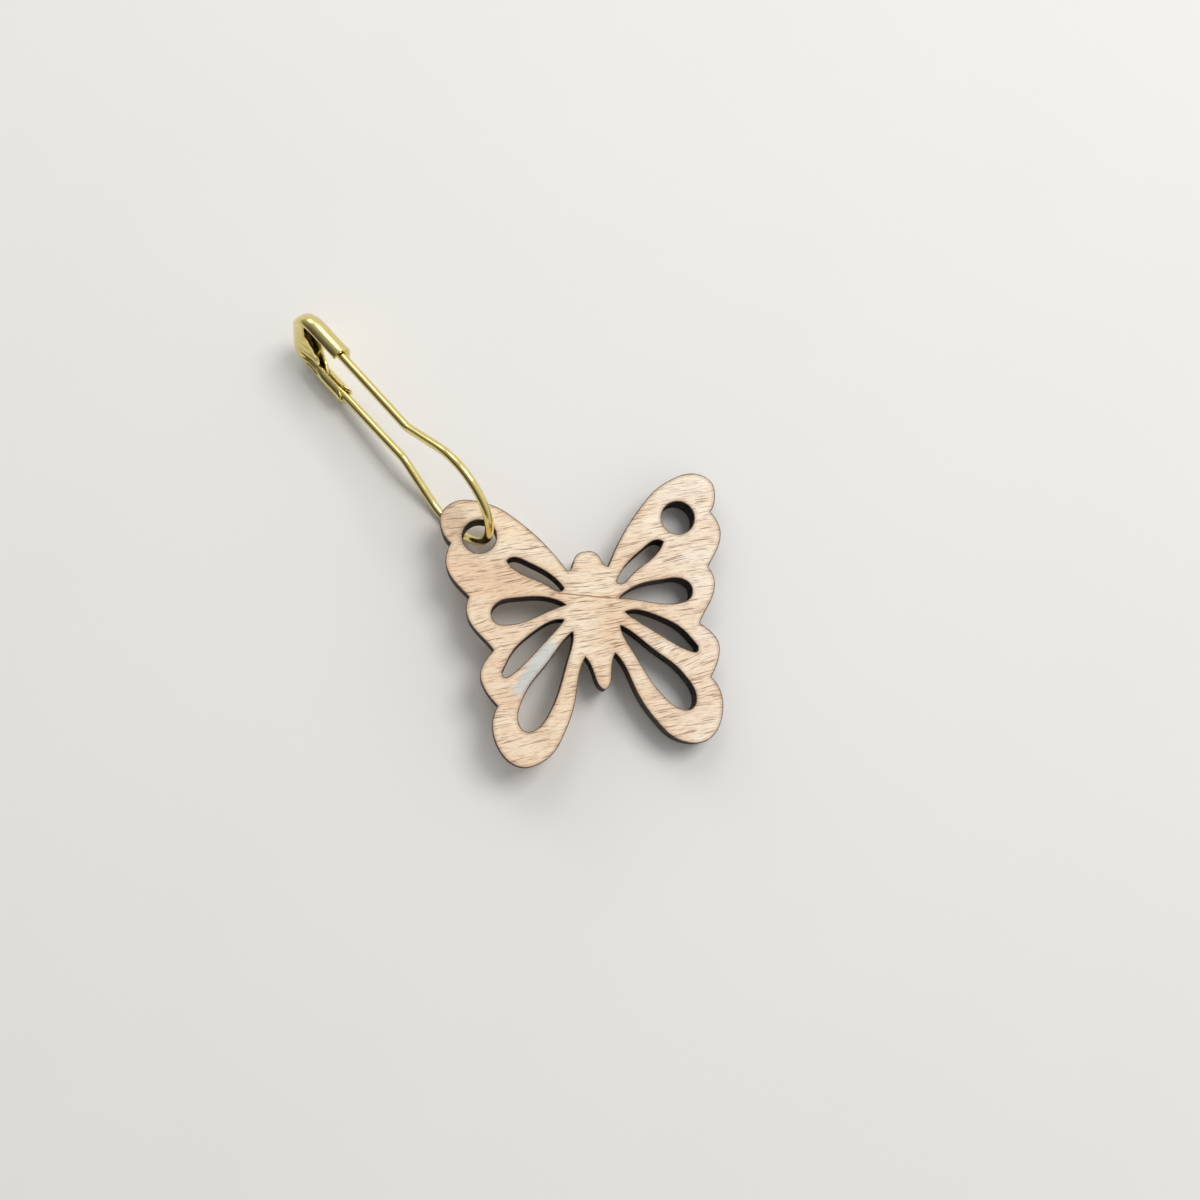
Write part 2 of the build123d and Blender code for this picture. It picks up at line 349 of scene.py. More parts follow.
def new_piece(name, points, faces, attributes=(), outward=True):
    """A smooth mesh object at the origin, its doubles merged, its attributes kept.

    attributes are (name, values), with three columns of values for a vector.
    """
    mesh = bpy.data.meshes.new(name)
    mesh.from_pydata(points.tolist(), [], faces)
    for label, values in attributes:
        kind, key = ("FLOAT_VECTOR", "vector") if values.ndim == 2 else ("FLOAT", "value")
        mesh.attributes.new(label, kind, "POINT").data.foreach_set(key, values.astype(np.float32).ravel())
    work = bmesh.new()
    work.from_mesh(mesh)
    bmesh.ops.remove_doubles(work, verts=work.verts, dist=WELD)
    loose = [v for v in work.verts if not v.link_faces]
    bmesh.ops.delete(work, geom=loose, context="VERTS")
    if outward:
        bmesh.ops.recalc_face_normals(work, faces=work.faces)
    for face in work.faces:
        face.smooth = True
    work.to_mesh(mesh)
    work.free()
    piece = bpy.data.objects.new(name, mesh)
    bpy.context.scene.collection.objects.link(piece)
    return piece


def dress(piece, material, slot, *nodes):
    """Gives a piece its material and hides the nodes that it stands for; slot is not used."""
    piece.data.materials.append(material)
    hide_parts(*nodes)


def arc(centre, radius, first, last, count):
    """count points of a circle between two angles."""
    turn = np.linspace(first, last, count)
    return centre + radius * np.stack([np.cos(turn), np.sin(turn)], 1)


def half_wire(pin, start):
    """The middle line of one leg, from its end in the cap to the bulb's end, about v = 0.

    A straight neck, a bend of the pinch radius, a straight flank that touches the
    bulb's circle, and the circle to the end.
    """
    radius = pin.bulb_width / 2
    centre = np.array([pin.pin_length - pin.wire / 2 - radius, 0.0])
    neck = np.array([start, pin.neck_width / 2])
    pinch = np.array([centre[0] - pin.pinch_to_bulb, pin.pinch_width / 2])
    run = centre[0] - pinch[0]
    distance = math.hypot(run, pinch[1])
    slope = math.atan2(-pinch[1], run) + math.asin(radius / distance)
    flank = math.sqrt(distance**2 - radius**2)
    touch = pinch + flank * np.array([math.cos(slope), math.sin(slope)])
    neck_slope = math.atan2(pinch[1] - neck[1], pinch[0] - neck[0])
    reach = pin.pinch_radius * math.tan((slope - neck_slope) / 2)
    before = pinch - reach * np.array([math.cos(neck_slope), math.sin(neck_slope)])
    bend_centre = before + pin.pinch_radius * np.array([-math.sin(neck_slope), math.cos(neck_slope)])
    turns = (neck_slope - math.pi / 2, slope - math.pi / 2)
    bend = arc(bend_centre, pin.pinch_radius, *turns, PINCH_POINTS)
    bulb = arc(centre, radius, slope + math.pi / 2, 0.0, BULB_POINTS)
    straight = np.linspace(neck, before, NECK_POINTS)[:-1]
    side = np.linspace(bend[-1], touch, FLANK_POINTS)[1:-1]
    return np.concatenate([straight, bend, side, bulb])


def wire_line(pin):
    """The whole wire's middle line in the pin's plane, from the point to the gripped end."""
    pointed = half_wire(pin, pin.point_from_top)
    fixed = half_wire(pin, pin.grip_from_top)[::-1] * (1, -1)
    return np.concatenate([pointed, fixed[1:]]) + (0, pin.neck_width / 2)


def resample(line, step):
    """The same line at equal steps of its length."""
    along = np.concatenate([[0], np.cumsum(np.linalg.norm(np.diff(line, axis=0), axis=1))])
    count = int(along[-1] / step) + 1
    where = np.linspace(0, along[-1], count)
    return np.stack([np.interp(where, along, line[:, k]) for k in (0, 1)], 1), where


def wire_surface(pin):
    """The wire as a tube: line + r(s)(cos a n + sin a w), with n across the line in its plane.

    r is half the wire, less a ground cone at the point, and both ends close in a
    quarter circle.
    """
    line, along = resample(wire_line(pin), WIRE_STEP)
    ends = END_ROUND * (1 - np.cos(np.linspace(0, math.pi / 2, END_ROWS)))
    extra = np.concatenate([ends, along[-1] - ends])
    where = np.unique(np.concatenate([along[1:-1], extra]))
    line = np.stack([np.interp(where, along, line[:, k]) for k in (0, 1)], 1)
    ahead = np.gradient(line, where, axis=0)
    ahead /= np.linalg.norm(ahead, axis=1)[:, None]
    across = np.stack([-ahead[:, 1], ahead[:, 0], np.zeros(len(where))], 1)
    half = pin.wire / 2
    ground = pin.tip / 2 + (half - pin.tip / 2) * np.clip(where / pin.point_length, 0, 1)
    left = np.minimum(where, where[-1] - where)
    closing = np.sqrt(np.clip(1 - (1 - np.clip(left / END_ROUND, 0, 1)) ** 2, 0, 1))
    radius = ground * closing
    turn = np.linspace(0, 2 * math.pi, WIRE_SIDES, endpoint=False)
    out = np.array([0.0, 0.0, 1.0])
    flat = np.concatenate([line, np.zeros((len(where), 1))], 1)
    ring = np.cos(turn)[None, :, None] * across[:, None] + np.sin(turn)[None, :, None] * out
    points = flat[:, None] + radius[:, None, None] * ring
    return points.reshape(-1, 3), grid_faces(len(where), WIRE_SIDES, around=True)


def dome_section(kind, c, cap):
    """A part of the cap's flattened oval section, for c from 0 to 1, as (v, w).

    The oval is two half circles of the half thickness joined by straight runs.
    crimp starts on the open side and goes round the fixed leg to the back; hook
    starts at the back and goes round the pointed leg to the flap's edge.
    """
    half = cap.half_thickness
    if kind == "crimp":
        centre = half - cap.low_edge
        run = cap.back_left - centre
        total = 2 * run + math.pi * half
        s = c * total
        turn = math.pi / 2 + np.clip(s - run, 0, math.pi * half) / half
        v = np.where(s < run, cap.back_left - s, np.where(s > total - run, centre + s - total + run,
                                                          centre + half * np.cos(turn)))
        return v, half * np.sin(turn)
    centre = cap.high_edge - half
    run = centre - cap.back_right
    total = run + half * (math.pi / 2 + cap.flap_angle)
    s = c * total
    turn = -math.pi / 2 + np.clip(s - run, 0, None) / half
    return np.where(s < run, cap.back_right + s, centre + half * np.cos(turn)), half * np.sin(turn)


def dome_top(cap):
    """Where the middle of the sheet passes the cap's top, a hair inside its full length."""
    return TOP_SHARE * cap.sheet


def close_dome(u, v, w, cap):
    """Closes a section towards the cap's top: an ellipse across it and a rounded edge."""
    middle = (cap.high_edge - cap.low_edge) / 2
    below = u - dome_top(cap)
    wide = np.sqrt(np.clip(1 - np.clip(1 - below / (cap.dome_length - dome_top(cap)), 0, 1) ** 2, 0, 1))
    thick = np.sqrt(np.clip(1 - np.clip(1 - below / cap.dome_round, 0, 1) ** 2, 0, 1))
    return middle + (v - middle) * wide, w * thick


def creases(u, c, turn, cap):
    """The depth of the creases: sums of |sin| of the turn round the leg and the distance down.

    They rise from the shoulder, end below the dome and fade at the strip's edges.
    """
    risen = ease(u, *(cap.shoulder * s for s in CREASES_RISE))
    along = risen * (1 - ease(u, *(cap.dome_length * s for s in CREASES_FADE)))
    waves = sum(
        height * np.abs(np.sin(folds * turn + slant * u / MM + start))
        for folds, slant, start, height in CREASES
    )
    return cap.crease * along * waves * np.clip(9 * c * (1 - c), 0, 1)


def crimp_strip(u, c, cap, lean):
    """The strip that goes round the fixed leg.

    It turns from the dome's oval into a creased circle round the wire over the
    first millimetres. Its back edge curls up to the slit as the notch opens, and
    its end flares.
    """
    v_dome, w_dome = dome_section("crimp", c, cap)
    v_dome, w_dome = close_dome(u, v_dome, w_dome, cap)
    round_off = ease(u, cap.shoulder * ROUND_FROM, cap.dome_length * ROUND_TO)
    flare = ease(u, cap.crimp_length - cap.flare_length, cap.crimp_length) ** FLARE_POWER
    gap = cap.slit_angle + cap.flare_angle * flare
    back = 1.5 * math.pi + (math.pi / 2 - gap) * ease(u, cap.notch_from_top, notch_end(cap))
    turn = gap + c * (back - gap)
    radius = cap.crimp_radius - creases(u, c, turn, cap) + FLARE_GROWTH * flare
    v_round = lean * (u - cap.shoulder) + radius * np.cos(turn)
    w_round = radius * np.sin(turn)
    return v_dome + (v_round - v_dome) * round_off, w_dome + (w_round - w_dome) * round_off


def notch_end(cap):
    """How far from the top the notch's straight sides start."""
    return cap.notch_from_top + (cap.back_right - cap.back_left) / 2


def cap_surface(cap, pin):
    """The cap's sheet as strips that share their borders, as (points, faces).

    Rows run down from the top, which is a pole, and columns run round the cap: the
    crimp strip, the back above the notch, the hook strip, the closed front and its
    pleated corner beside the crimp.
    """
    lean = (pin.neck_width - pin.pinch_width) / 2 / (
        pin.pin_length - (pin.wire + pin.bulb_width) / 2 - pin.pinch_to_bulb - cap.shoulder
    )
    top = dome_top(cap)
    drop = notch_end(cap) - top
    down = (np.arange(CAP_ROWS + 1) / CAP_ROWS) ** CROWDING
    front_row, gusset_row = (
        int(round(CAP_ROWS * ((reach - top) / drop) ** (1 / CROWDING)))
        for reach in (cap.front, cap.gusset)
    )

    def arm_rows(reach):
        """Distances from the top for an arm, with a short last row."""
        steps = np.linspace(notch_end(cap), reach, ARM_ROWS)[1:]
        return np.concatenate([top + down * drop, steps[:-1], [reach - LAST_ROW, reach]])

    def crimp(u, c):
        """Points of the crimp strip."""
        v, w = crimp_strip(u, c, cap, lean)
        return np.stack(np.broadcast_arrays(u, v, w), -1)

    def hook(u, c):
        """Points of the hook strip, which widens about the pointed leg at its mouth."""
        v, w = close_dome(u, *dome_section("hook", c, cap), cap)
        mouth = ease(u, cap.hook_length - MOUTH_LENGTH, cap.hook_length) ** 2
        centre = cap.high_edge - cap.half_thickness
        grow = 1 + MOUTH_GROWTH * mouth
        return np.stack(np.broadcast_arrays(u, centre + (v - centre) * grow, w * grow), -1)

    def back(row, x):
        """Between the crimp's and the hook's back edges, down to the arch of the notch."""
        arch = cap.notch_from_top + (notch_end(cap) - cap.notch_from_top) * (1 - np.sqrt(4 * x * (1 - x)))
        u = top + row * (arch - top)
        left, right = crimp(u, np.ones_like(x)), hook(u, np.zeros_like(x))
        v = left[..., 1] + (right[..., 1] - left[..., 1]) * x
        w = right[..., 2] + (left[..., 2] - right[..., 2]) * (1 - x) ** 3
        return np.stack([u, v, w], -1)

    def front(row, x):
        """Between the flap's edge and the crimp's open edge, with pleats that deepen downwards."""
        u = np.broadcast_to(top + row * drop, np.broadcast_shapes(row.shape, x.shape))
        first, last = hook(u, np.ones_like(x)), crimp(u, np.zeros_like(x))
        sheet = first + (last - first) * x[..., None]
        depth = cap.crease * ease(u, PLEAT_START * cap.front, cap.front)
        sheet[..., 2] -= depth * np.abs(np.sin(FRONT_PLEATS * math.pi * x)) * x ** 0.5
        return sheet

    def across(columns):
        """Even columns from 0 to 1."""
        return np.linspace(0, 1, columns)[None]

    spread = (1 - np.cos(np.linspace(0, math.pi, BACK_COLUMNS))) / 2
    shrink = (1 - np.linspace(0, 1, gusset_row - front_row + 1)) ** GUSSET_CURVE
    corner = 1 - (1 - across(FRONT_COLUMNS)[:, GUSSET_COLUMN:]) * shrink[:, None]
    strips = [
        crimp(arm_rows(cap.crimp_length)[:, None], across(CRIMP_COLUMNS)),
        back(down[:, None], spread[None]),
        hook(arm_rows(cap.hook_length)[:, None], across(HOOK_COLUMNS)),
        front(down[:front_row + 1, None], across(FRONT_COLUMNS)),
        front(down[front_row:gusset_row + 1, None], corner),
    ]
    faces = []
    start = 0
    for strip in strips:
        faces += grid_faces(strip.shape[0], strip.shape[1], start)
        start += strip.shape[0] * strip.shape[1]
    return np.concatenate([strip.reshape(-1, 3) for strip in strips]), faces


def charm_points(shares, side, charm):
    """Flat charm points from their shares of half the wing span, mirrored for side -1."""
    return np.atleast_2d(np.array(shares, float)) * (side, 1) * charm.wing_span / 2


def smooth_row(points, step):
    """A cubic spline through the points, with its parameter along their chords.

    The second derivatives solve the usual tridiagonal system, and the third
    derivative is continuous at the second and the last but one point.
    """
    t = np.concatenate([[0], np.cumsum(np.linalg.norm(np.diff(points, axis=0), axis=1))])
    h = np.diff(t)
    n = len(t)
    system = np.zeros((n, n))
    right = np.zeros((n, 2))
    inner = np.arange(1, n - 1)
    system[inner, inner - 1] = h[:-1]
    system[inner, inner] = 2 * (h[:-1] + h[1:])
    system[inner, inner + 1] = h[1:]
    slopes = np.diff(points, axis=0) / h[:, None]
    right[1:-1] = 6 * np.diff(slopes, axis=0)
    system[0, :3] = (h[1], -(h[0] + h[1]), h[0])
    system[-1, -3:] = (h[-1], -(h[-1] + h[-2]), h[-2])
    bend = np.linalg.solve(system, right)
    count = max(6, int(round(t[-1] / step)))
    where = np.linspace(0, t[-1], count + 1)
    k = np.clip(np.searchsorted(t, where, side="right") - 1, 0, n - 2)
    a = ((t[k + 1] - where) / h[k])[:, None]
    b = 1 - a
    cubic = ((a**3 - a) * bend[k] + (b**3 - b) * bend[k + 1]) * (h[k] ** 2 / 6)[:, None]
    return a * points[k] + b * points[k + 1] + cubic


def closed_loop(rows):
    """Rows end to end as one loop without its repeated points."""
    return np.concatenate([row[:-1] for row in rows])


def signed_area(loop):
    """Half the sum of the cross products, positive for a loop that runs to the left."""
    after = np.roll(loop, -1, axis=0)
    return 0.5 * np.sum(loop[:, 0] * after[:, 1] - loop[:, 1] * after[:, 0])


def charm_loops(charm):
    """The outline, which runs to the left, and the cut-outs and holes, which run to the right."""
    step = charm.edge_step
    right = [smooth_row(charm_points(row, 1, charm), step) for row in OUTLINE_SHARES]
    left = [smooth_row(charm_points(row, -1, charm), step)[::-1] for row in OUTLINE_SHARES[::-1]]
    loops = [closed_loop(right + left)]
    for side in (1, -1):
        for slot in SLOT_SHARES:
            loops.append(closed_loop([smooth_row(charm_points(row, side, charm), step) for row in slot]))
    for hole in (WIRE_HOLE_SHARES, FREE_HOLE_SHARES):
        centre = charm_points(hole, 1, charm)[0]
        loops.append(arc(centre, charm.hole / 2, 0, 2 * math.pi, HOLE_POINTS)[:-1])
    turned = []
    for index, loop in enumerate(loops):
        leftward = signed_area(loop) > 0
        turned.append(loop if leftward == (index == 0) else loop[::-1])
    return turned


def away(loop):
    """The unit direction out of the wood at each point of a loop."""
    ahead = np.roll(loop, -1, axis=0) - np.roll(loop, 1, axis=0)
    out = np.stack([ahead[:, 1], -ahead[:, 0]], 1)
    return out / np.linalg.norm(out, axis=1)[:, None]


def edge_distance(points, edges):
    """The distance from each point to the nearest point of the edges."""
    gap = points[:, None] - edges[None]
    return np.sqrt(np.einsum("ijk,ijk->ij", gap, gap).min(axis=1))


def in_wood(points, loops):
    """True for points from which a ray along x crosses the loops an odd number of times."""
    first = np.concatenate(loops)
    last = np.concatenate([np.roll(loop, -1, axis=0) for loop in loops])
    x, y = points[:, None, 0], points[:, None, 1]
    spans = (first[:, 1] > y) != (last[:, 1] > y)
    rise = np.where(last[:, 1] == first[:, 1], 1.0, last[:, 1] - first[:, 1])
    crossing = first[:, 0] + (y - first[:, 1]) * (last[:, 0] - first[:, 0]) / rise
    return (spans & (x < crossing)).sum(axis=1) % 2 == 1


def face_triangles(loops, charm):
    """A flat face inside the loops: points on a grid and along the edges, joined by triangles.

    A second row of points lies just inside each edge, and grid points near an edge
    are left out.
    """
    edges = np.concatenate(loops)
    half = charm.wing_span / 2
    step = charm.face_step
    columns = np.arange(-half, half, step)
    rows = np.arange(-REACH_DOWN * half, REACH_UP * half, step)
    grid = np.stack(np.meshgrid(columns, rows), -1).reshape(-1, 2)
    grid = grid[edge_distance(grid, edges[::2]) > FREE_STRIP * step]
    inner = np.concatenate([loop - away(loop) * SECOND_ROW * charm.edge_round for loop in loops])
    points = np.concatenate([edges, inner, grid]) / MM
    starts = np.cumsum([0] + [len(loop) for loop in loops])
    rings = [
        (int(a + i), int(a + (i + 1) % (b - a)))
        for a, b in zip(starts[:-1], starts[1:]) for i in range(b - a)
    ]
    found = delaunay_2d_cdt([Vector(p) for p in points.tolist()], rings, [], 0, 1e-6)
    points = np.array([tuple(p) for p in found[0]]) * MM
    triangles = np.array(found[2])
    return points, triangles[in_wood(points[triangles].mean(axis=1), loops)]


def charm_surface(charm):
    """The charm as walls swept round its loops and two triangulated faces.

    A wall's rows are the loop moved into the wood by r(1 - cos a) and down by
    r(1 - sin a) at each rounded edge. Returns the points, the faces, the flat
    place in millimetres, the distance to the nearest edge and the share of wall.
    """
    loops = charm_loops(charm)
    r = charm.edge_round
    top = charm.thickness / 2
    turn = np.linspace(0, math.pi / 2, EDGE_ROWS)
    inward = r * (1 - np.sin(turn))
    height = top - r * (1 - np.cos(turn))
    middle = np.linspace(height[-1], -height[-1], WALL_ROWS)[1:-1]
    inward = np.concatenate([inward, np.zeros(len(middle)), inward[::-1]])
    height = np.concatenate([height, middle, -height[::-1]])
    points = []
    faces = []
    start = 0
    for loop in loops:
        rows = loop[None] - away(loop)[None] * inward[:, None, None]
        level = np.broadcast_to(height[:, None, None], rows.shape[:2] + (1,))
        points.append(np.concatenate([rows, level], -1).reshape(-1, 3))
        faces += grid_faces(len(height), len(loop), start, around=True)
        start += len(height) * len(loop)
    walls = start
    inner_loops = [loop - away(loop) * inward[0] for loop in loops]
    flat, triangles = face_triangles(inner_loops, charm)
    for level, order in ((top, 1), (-top, -1)):
        points.append(np.concatenate([flat, np.full((len(flat), 1), level)], 1))
        faces += (triangles[:, ::order] + start).tolist()
        start += len(flat)
    points = np.concatenate(points)
    edge = edge_distance(points[:, :2], np.concatenate(loops)) / MM
    wall = np.zeros(len(points))
    wall[:walls] = 1
    wall[np.abs(points[:, 2]) > top - 0.2 * r] = 0
    return points, faces, points / MM, edge, wall


def node(tree, kind, inputs=(), **settings):
    """A shader node, with its settings and with values or links in its inputs."""
    made = tree.nodes.new(kind)
    for key, value in settings.items():
        setattr(made, key, value)
    for key, value in dict(inputs).items():
        if isinstance(value, bpy.types.NodeSocket):
            tree.links.new(value, made.inputs[key])
        else:
            made.inputs[key].default_value = value
    return made


def maths(tree, operation, first, second=0.0):
    """One step of arithmetic."""
    return node(tree, "ShaderNodeMath", {0: first, 1: second}, operation=operation).outputs[0]


def vector_maths(tree, operation, first, second):
    """One step of arithmetic on vectors, of which a dot product gives a number."""
    made = node(tree, "ShaderNodeVectorMath", {0: first, 1: second}, operation=operation)
    return made.outputs["Value" if operation == "DOT_PRODUCT" else "Vector"]


def noise(tree, place, scale, detail=2.0, rough=0.5):
    """Smooth noise about 0.5."""
    return node(
        tree, "ShaderNodeTexNoise",
        {"Vector": place, "Scale": scale, "Detail": detail, "Roughness": rough},
    ).outputs["Fac"]


def stretch(tree, place, scale, move=(0.0, 0.0, 0.0), turn=0.0):
    """A place moved, turned about z and stretched."""
    turned = node(
        tree, "ShaderNodeMapping", {"Vector": place, "Location": move, "Rotation": (0.0, 0.0, turn)},
    ).outputs["Vector"]
    return node(tree, "ShaderNodeMapping", {"Vector": turned, "Scale": scale}).outputs["Vector"]


def band(tree, value, low, high, first=0.0, last=1.0):
    """A value that eases from first to last between low and high."""
    return node(
        tree, "ShaderNodeMapRange",
        {"Value": value, "From Min": low, "From Max": high, "To Min": first, "To Max": last},
        interpolation_type="SMOOTHSTEP",
    ).outputs["Result"]


def mix(tree, factor, first, second):
    """Two colours mixed."""
    made = node(tree, "ShaderNodeMix", {0: factor}, data_type="RGBA")
    for key, value in ((6, first), (7, second)):
        if isinstance(value, bpy.types.NodeSocket):
            tree.links.new(value, made.inputs[key])
        else:
            made.inputs[key].default_value = (*value, 1.0)
    return made.outputs[2]


def new_material(name):
    """A material with only a Principled shader, as (material, tree, shader)."""
    material = bpy.data.materials.new(name)
    material.use_nodes = True
    tree = material.node_tree
    tree.nodes.clear()
    shader = node(tree, "ShaderNodeBsdfPrincipled")
    node(tree, "ShaderNodeOutputMaterial", {"Surface": shader.outputs[0]})
    return material, tree, shader


def gold_material(name, colour, roughness, drawn):
    """Bright plating: tarnish in soft patches, fine rubbing marks and small pits.

    drawn is the strength of the fine unevenness of the surface.
    """
    material, tree, shader = new_material(name)
    place = node(tree, "ShaderNodeTexCoord").outputs["Object"]
    patches = noise(tree, place, 900.0, 3.0, 0.6)
    specks = noise(tree, place, 9000.0, 2.0, 0.6)
    tarnish = maths(tree, "MULTIPLY", band(tree, patches, 0.35, 0.8), 0.3)
    deep = tuple(c * s for c, s in zip(colour, (0.78, 0.66, 0.42)))
    base = mix(tree, tarnish, tuple(colour), deep)
    base = mix(tree, maths(tree, "MULTIPLY", band(tree, specks, 0.62, 0.8), 0.2), base, deep)
    rubbed = band(tree, noise(tree, place, 2500.0, 3.0, 0.6), 0.25, 0.8, roughness * 0.8, roughness * 1.25)
    bump = node(
        tree, "ShaderNodeBump",
        {"Height": noise(tree, place, 2600.0, 3.0, 0.55), "Strength": drawn, "Distance": 0.02 * MM},
    )
    shader.inputs["Metallic"].default_value = 1.0
    tree.links.new(base, shader.inputs["Base Color"])
    tree.links.new(rubbed, shader.inputs["Roughness"])
    tree.links.new(bump.outputs[0], shader.inputs["Normal"])
    return material


def wood_ground(tree, flat, wavy, across, charm):
    """The wood before its pores, as (colour, fibres).

    Cream that pales towards the far wing, partly the wood's own tone and partly a
    painted pool of light where the lamp lights that wing more, pink patches that
    thin out towards that wing in the same way, soft growth bands, and fine darker
    fibres along the grain.
    """
    # Painted light in part: the cream pales towards the far wing, partly the wood's own tone and partly a
    # painted pool of light on that wing.
    base = mix(tree, band(tree, across, 0.5, 8.5, 0.0, 0.8), tuple(charm.cream), tuple(charm.pale))
    patches = noise(tree, stretch(tree, flat, (0.16, 0.24, 0.2), (-33.3, -12.8, 21.0)), 1.0, 2.0)
    # The pink patches thin out towards the far wing, partly the wood's own tone and partly painted light.
    warm = maths(tree, "MULTIPLY", band(tree, patches, 0.4, 0.7), band(tree, across, 0.0, 8.0, 0.8, 0.4))
    base = mix(tree, warm, base, tuple(charm.pink))
    bands = noise(tree, stretch(tree, wavy, (0.1, 1.6, 0.6), turn=GRAIN_TURN), 1.0, 3.0, 0.6)
    base = mix(tree, band(tree, bands, 0.42, 0.7, 0.0, 0.5), base, tuple(charm.pink))
    fibres = noise(tree, stretch(tree, wavy, (0.9, 13.0, 3.0), turn=GRAIN_TURN), 1.0, 3.0, 0.65)
    darker = tuple(c * 0.7 for c in charm.pink)
    return mix(tree, band(tree, fibres, 0.42, 0.72, 0.0, 0.52), base, darker), fibres


def wood_pores(tree, flat, wavy, across, along_body):
    """Short open pores along the grain, and one long dark vessel across the body."""
    drift = maths(tree, "MULTIPLY", noise(tree, flat, 0.9, 2.0), 0.16)
    sloped = maths(tree, "ADD", along_body, maths(tree, "MULTIPLY", across, VESSEL_SLOPE))
    off = maths(tree, "ADD", maths(tree, "ADD", sloped, VESSEL_BELOW), drift)
    vessel = band(tree, maths(tree, "ABSOLUTE", off), 0.02, 0.085, 0.9, 0.0)
    from_middle = maths(tree, "ABSOLUTE", maths(tree, "ADD", across, VESSEL_LEFT))
    pores = maths(tree, "MULTIPLY", vessel, band(tree, from_middle, 1.4, 3.4, 1.0, 0.0))
    for scale, move, detail, levels, darkness in PORES:
        spots = noise(tree, stretch(tree, wavy, scale, move, GRAIN_TURN), 1.0, detail)
        pores = maths(tree, "MAXIMUM", pores, band(tree, spots, *levels, 0.0, darkness))
    return pores


def bridge_film(tree, flat, up):
    """The grey-white film on the upper face of one bridge, from its start to its end."""
    run = np.array(FILM_END) - np.array(FILM_START)
    length_of_run = float(np.linalg.norm(run))
    x, y = (run / length_of_run).tolist()
    local = vector_maths(tree, "SUBTRACT", flat, (*FILM_START, 0.0))
    along = vector_maths(tree, "DOT_PRODUCT", local, (x, y, 0.0))
    aside = vector_maths(tree, "DOT_PRODUCT", local, (-y, x, 0.0))
    film = band(tree, maths(tree, "ABSOLUTE", aside), 0.55, 0.95, 1.0, 0.0)
    starts = band(tree, along, 0.2, 1.5)
    ends = band(tree, along, length_of_run - 0.9, length_of_run + 0.2, 1.0, 0.0)
    speckle = band(tree, noise(tree, flat, 5.0, 3.0, 0.7), 0.3, 0.6, 0.7, 1.0)
    upper_face = band(tree, up, 0.9, 0.99, 0.0, 0.9)
    for part in (starts, ends, speckle, upper_face):
        film = maths(tree, "MULTIPLY", film, part)
    return film


def burnt_edges(tree, base, flat, edge, wall, charm):
    """A light scorch beside the cut, a dark line along it and charred walls, as (colour, streaks)."""
    inside = maths(tree, "SUBTRACT", edge, maths(tree, "MULTIPLY", noise(tree, flat, 4.0, 3.0, 0.7), 0.09))
    base = mix(tree, band(tree, inside, 0.02, 0.3, 0.42, 0.0), base, SCORCH)
    streaks = noise(tree, stretch(tree, flat, (7.0, 7.0, 0.35)), 1.0, 3.0, 0.7)
    char = mix(tree, band(tree, streaks, 0.42, 0.75, 0.0, 0.8), tuple(charm.burnt), ASH)
    line = band(tree, inside, 0.0, 0.055, 0.75, 0.0)
    return mix(tree, maths(tree, "MAXIMUM", line, band(tree, wall, 0.05, 0.6)), base, char), streaks


def wood_material(charm):
    """Bare, close-grained wood, cut by a laser, which follows the charm's flat place."""
    material, tree, shader = new_material("charm_wood")
    flat, edge, wall = (
        node(tree, "ShaderNodeAttribute", attribute_type="GEOMETRY", attribute_name=name).outputs[kind]
        for name, kind in (("flat", "Vector"), ("edge", "Fac"), ("wall", "Fac"))
    )
    parts = node(tree, "ShaderNodeSeparateXYZ", {"Vector": flat}).outputs
    waver = noise(tree, stretch(tree, flat, (0.12, 0.35, 0.2)), 1.0, 1.0)
    shift = node(tree, "ShaderNodeCombineXYZ", {"Y": maths(tree, "MULTIPLY", waver, 1.6)}).outputs[0]
    wavy = vector_maths(tree, "ADD", flat, shift)

    base, fibres = wood_ground(tree, flat, wavy, parts["X"], charm)
    pores = wood_pores(tree, flat, wavy, parts["X"], parts["Y"])
    base = mix(tree, maths(tree, "MULTIPLY", pores, 0.9), base, tuple(charm.pore))
    base = mix(tree, bridge_film(tree, flat, parts["Z"]), base, tuple(charm.worn))
    base, streaks = burnt_edges(tree, base, flat, edge, wall, charm)

    rough = band(tree, pores, 0.0, 1.0, charm.roughness, 0.85)
    relief = maths(tree, "SUBTRACT", maths(tree, "MULTIPLY", fibres, 0.35), pores)
    relief = maths(tree, "ADD", relief, maths(tree, "MULTIPLY", maths(tree, "MULTIPLY", streaks, wall), 1.2))
    bump = node(tree, "ShaderNodeBump", {"Height": relief, "Strength": 0.5, "Distance": 0.03 * MM})
    tree.links.new(base, shader.inputs["Base Color"])
    tree.links.new(rough, shader.inputs["Roughness"])
    tree.links.new(bump.outputs[0], shader.inputs["Normal"])
    shader.inputs["Specular IOR Level"].default_value = 0.3
    return material


class STITCH_OT_wire(bpy.types.Operator):
    """Builds the pin's wire"""

    bl_idname = "stitch.wire"
    bl_label = "Pin wire"

    def execute(self, context):
        pin = context.scene.stitch_pin
        points, faces = wire_surface(pin)
        piece = new_piece("pin_wire", place_on_pin(points, pin), faces)
        dress(piece, gold_material("gold_wire", pin.gold, pin.roughness, 0.25), "gold_wire",
              "fixed_leg", "pointed_leg")
        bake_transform(piece)
        return {"FINISHED"}


